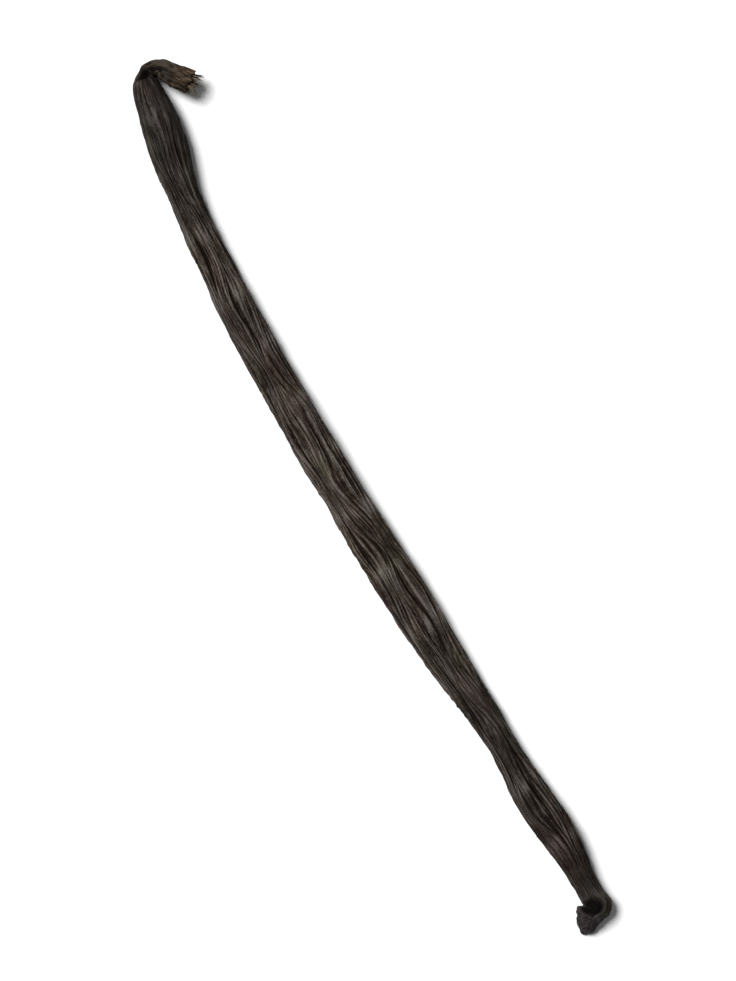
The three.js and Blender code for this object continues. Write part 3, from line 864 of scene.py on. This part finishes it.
# Painted shadow and shade: the tone mark darkens the colour along the pod and in the pit, hollow and
# flank.
colour = blend(tree, 1.0, colour, mark(tree, "tone", "Color"), "MULTIPLY")
rust = arithmetic(tree, "MULTIPLY", on_torn, between(tree, other_patches, *RUST_FROM))
colour = blend(tree, rust, colour, TORN_RUST)
tan = arithmetic(tree, "MULTIPLY", on_torn, between(tree, grain(tree, place, *SPLINTERS), *TAN_FROM))
colour = blend(tree, tan, colour, TORN_TAN)
print(len(tree.nodes), "nodes with the stalk")

# %% Colours of the scar
SCAR_PURPLE, SCAR_DARK = (0.032, 0.0245, 0.026, 1), (0.009, 0.0065, 0.0065, 1)
MOTTLE_SIZE, MOTTLE_FROM = 0.4 * MM, (0.42, 0.6)

own_place = add(tree, "ShaderNodeTexCoord").outputs["Object"]
mottle = grain(tree, own_place, MOTTLE_SIZE, MOTTLE_SIZE, detail=3.0)
scar_colour = blend(tree, between(tree, mottle, *MOTTLE_FROM), SCAR_PURPLE, SCAR_DARK)
colour = blend(tree, mark(tree, "scar"), colour, scar_colour)
tree.links.new(colour, shader.inputs["Base Color"])
print(len(tree.nodes), "nodes with the colours")

# %% [markdown]
# ## Cured skin: its sheen
#
# The skin is faintly oily, so each ridge catches the light as a thin grey line, and the furrows, where
# the oil has dried in, swallow it. The streaks and the furrow mark therefore also set the roughness,
# and the darkest places, the pit and the knob's fallen-in side, whose dark is painted shade, are dull.
# Much of the grey line on the crests is also painted into their colour as a painted sheen. The finest
# grain is too small for the mesh and goes into a bump, a few hundredths of a millimetre deep.

# %% Sheen
SPECULAR_LEVEL = 0.07
OILY, DRIED = 0.38, 0.5  # roughness of the paler streaks and of the darker ones
FURROW_DULLER, STALK_DULLER, HOLLOW_DULLER = 0.25, 0.16, 0.5  # added to it

shader.inputs["Specular IOR Level"].default_value = SPECULAR_LEVEL
in_furrow = between(tree, in_groove, 0.1, 0.9, 0, FURROW_DULLER)
in_hollow = between(tree, mark(tree, "tone"), 0.05, 0.3, HOLLOW_DULLER, 0)
roughness = arithmetic(tree, "ADD", between(tree, streaks, 0.3, 0.7, DRIED, OILY), in_furrow)
roughness = arithmetic(tree, "MULTIPLY_ADD", on_stalk, STALK_DULLER, roughness)
roughness = arithmetic(tree, "ADD", roughness, in_hollow)
tree.links.new(roughness, shader.inputs["Roughness"])
print("roughness from", OILY, "to", DRIED + FURROW_DULLER, "on the body")

# %% Finest grain
FINE_LINES = (0.2, 5.0)  # size across and along
PORE_HEIGHT, BUMP_DEPTH, BUMP_STRENGTH = 0.35, 0.12 * MM, 0.8

finest = arithmetic(tree, "MULTIPLY_ADD", pores, PORE_HEIGHT, grain(tree, place, *FINE_LINES))
bump = add(tree, "ShaderNodeBump", Strength=BUMP_STRENGTH, Distance=BUMP_DEPTH, Height=finest)
tree.links.new(bump.outputs[0], shader.inputs["Normal"])
pod.data.materials.append(skin_finish)
print(len(tree.nodes), "nodes in the whole finish")

# %% [markdown]
# ## Dry fibre
#
# The torn fibres are dry wood, dull, and paler than the skin. Each strand has one tone of its own, which
# the mesh carries, so no noise is needed.

# %% Fibre finish
FIBRE_DARK, FIBRE_PALE = (0.03, 0.02, 0.013, 1), (0.20, 0.145, 0.09, 1)
FIBRE_ROUGHNESS = 0.7

fibre_finish, tree, shader = new_finish("stalk_fibre")
fibre_colour = blend(tree, mark(tree, "tone"), FIBRE_DARK, FIBRE_PALE)
tree.links.new(fibre_colour, shader.inputs["Base Color"])
shader.inputs["Roughness"].default_value = FIBRE_ROUGHNESS
fibres.data.materials.append(fibre_finish)
print("fibre tones from", round(strand_tone.min(), 2), "to", round(strand_tone.max(), 2))

# %% [markdown]
# ## Table
#
# A small dark thing reads best on a pale plain floor. It is the stage and no part of the pod. The
# picture is turned to the pod, which lies slantwise in it with its stalk up and to the left, so the
# picture's up and right are worked out first, as directions on the floor.

# %% Floor
FLOOR_SIZE = 60.0  # in metres, so wide that its edge lies far off when the camera is low
FLOOR_GREY = (0.86, 0.86, 0.86, 1)
FLOOR_ROUGHNESS = 0.9
POD_SLANT = math.radians(28.3)  # of the pod, to the picture's upright

picture_up = Vector((math.sin(POD_SLANT), math.cos(POD_SLANT), 0))
picture_right = Vector((math.cos(POD_SLANT), -math.sin(POD_SLANT), 0))
target = Vector(((pod_low + pod_high) / 2).tolist())

bpy.ops.mesh.primitive_plane_add(size=FLOOR_SIZE, location=(0, 0, 0))
floor = bpy.context.object
floor.name = "floor"
floor_finish, tree, shader = new_finish("pale_floor")
shader.inputs["Base Color"].default_value = FLOOR_GREY
shader.inputs["Roughness"].default_value = FLOOR_ROUGHNESS
floor.data.materials.append(floor_finish)
print("floor", FLOOR_SIZE, "m wide")

# %% [markdown]
# ## Light
#
# The main light comes from high up and to the left in the picture, and is broad, like a window with a
# blind: ridges get a lit side and a soft shadow side. A lamp close by would be brighter at one end of
# so long a thing, so it is a far one, a sun with a wide disc. A dim even sky fills the shadows.

# %% Lights
SKY_STRENGTH = 0.16
LIGHT_SPREAD = math.radians(33)  # how wide the light looks from the pod
LIGHT_STRENGTH = 5.1
LIGHT_UPWARDS, LIGHT_LEFTWARDS = 0.45, 0.7  # in the picture, for each metre of height

up = Vector((0, 0, 1))
to_light = up + LIGHT_UPWARDS * picture_up - LIGHT_LEFTWARDS * picture_right

light = bpy.data.lights.new("main_light", "SUN")
light.angle, light.energy = LIGHT_SPREAD, LIGHT_STRENGTH
lamp = bpy.data.objects.new("main_light", light)
lamp.location = target + to_light
lamp.rotation_euler = (-to_light).to_track_quat("-Z", "Y").to_euler()
bpy.context.scene.collection.objects.link(lamp)

world = bpy.data.worlds.new("soft_sky")
world.use_nodes = True
world.node_tree.nodes["Background"].inputs["Color"].default_value = (1, 1, 1, 1)
world.node_tree.nodes["Background"].inputs["Strength"].default_value = SKY_STRENGTH
bpy.context.scene.world = world
bpy.context.scene.view_settings.view_transform = "Standard"
print("light from", tuple(round(part, 2) for part in to_light.normalized()))

# %% [markdown]
# ## Camera
#
# The camera looks almost straight down, a little from the near side, through a long lens that keeps the
# pod's two ends at one scale. Its three axes are worked out and put into a matrix, which is surer than
# turning it by angles.

# %% Camera
PICTURE_HEIGHT = 0.168  # of the floor, from the bottom of the picture to its top, in metres
CAMERA_LENS = 100.0
CAMERA_TILT = math.radians(5)  # away from straight down
SENSOR = 36.0

camera_data = bpy.data.cameras.new("camera")
camera_data.lens, camera_data.sensor_width, camera_data.sensor_fit = CAMERA_LENS, SENSOR, "AUTO"
camera = bpy.data.objects.new("camera", camera_data)
distance = PICTURE_HEIGHT * CAMERA_LENS / SENSOR
back = (up * math.cos(CAMERA_TILT) - picture_up * math.sin(CAMERA_TILT)).normalized()
lens_up = back.cross(picture_right).normalized()
turned = Matrix((picture_right, lens_up, back)).transposed().to_4x4()
camera.matrix_world = Matrix.Translation(target + back * distance) @ turned
bpy.context.scene.collection.objects.link(camera)
bpy.context.scene.camera = camera
print("camera stands", round(distance, 3), "m above the pod")

# %% [markdown]
# ## Hand over
#
# Both pieces belong to the pod's one body, and together they stand for its plain solid.

# %% Ride and replace
for piece in (pod, fibres):
    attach(piece, "root")
    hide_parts("pod")
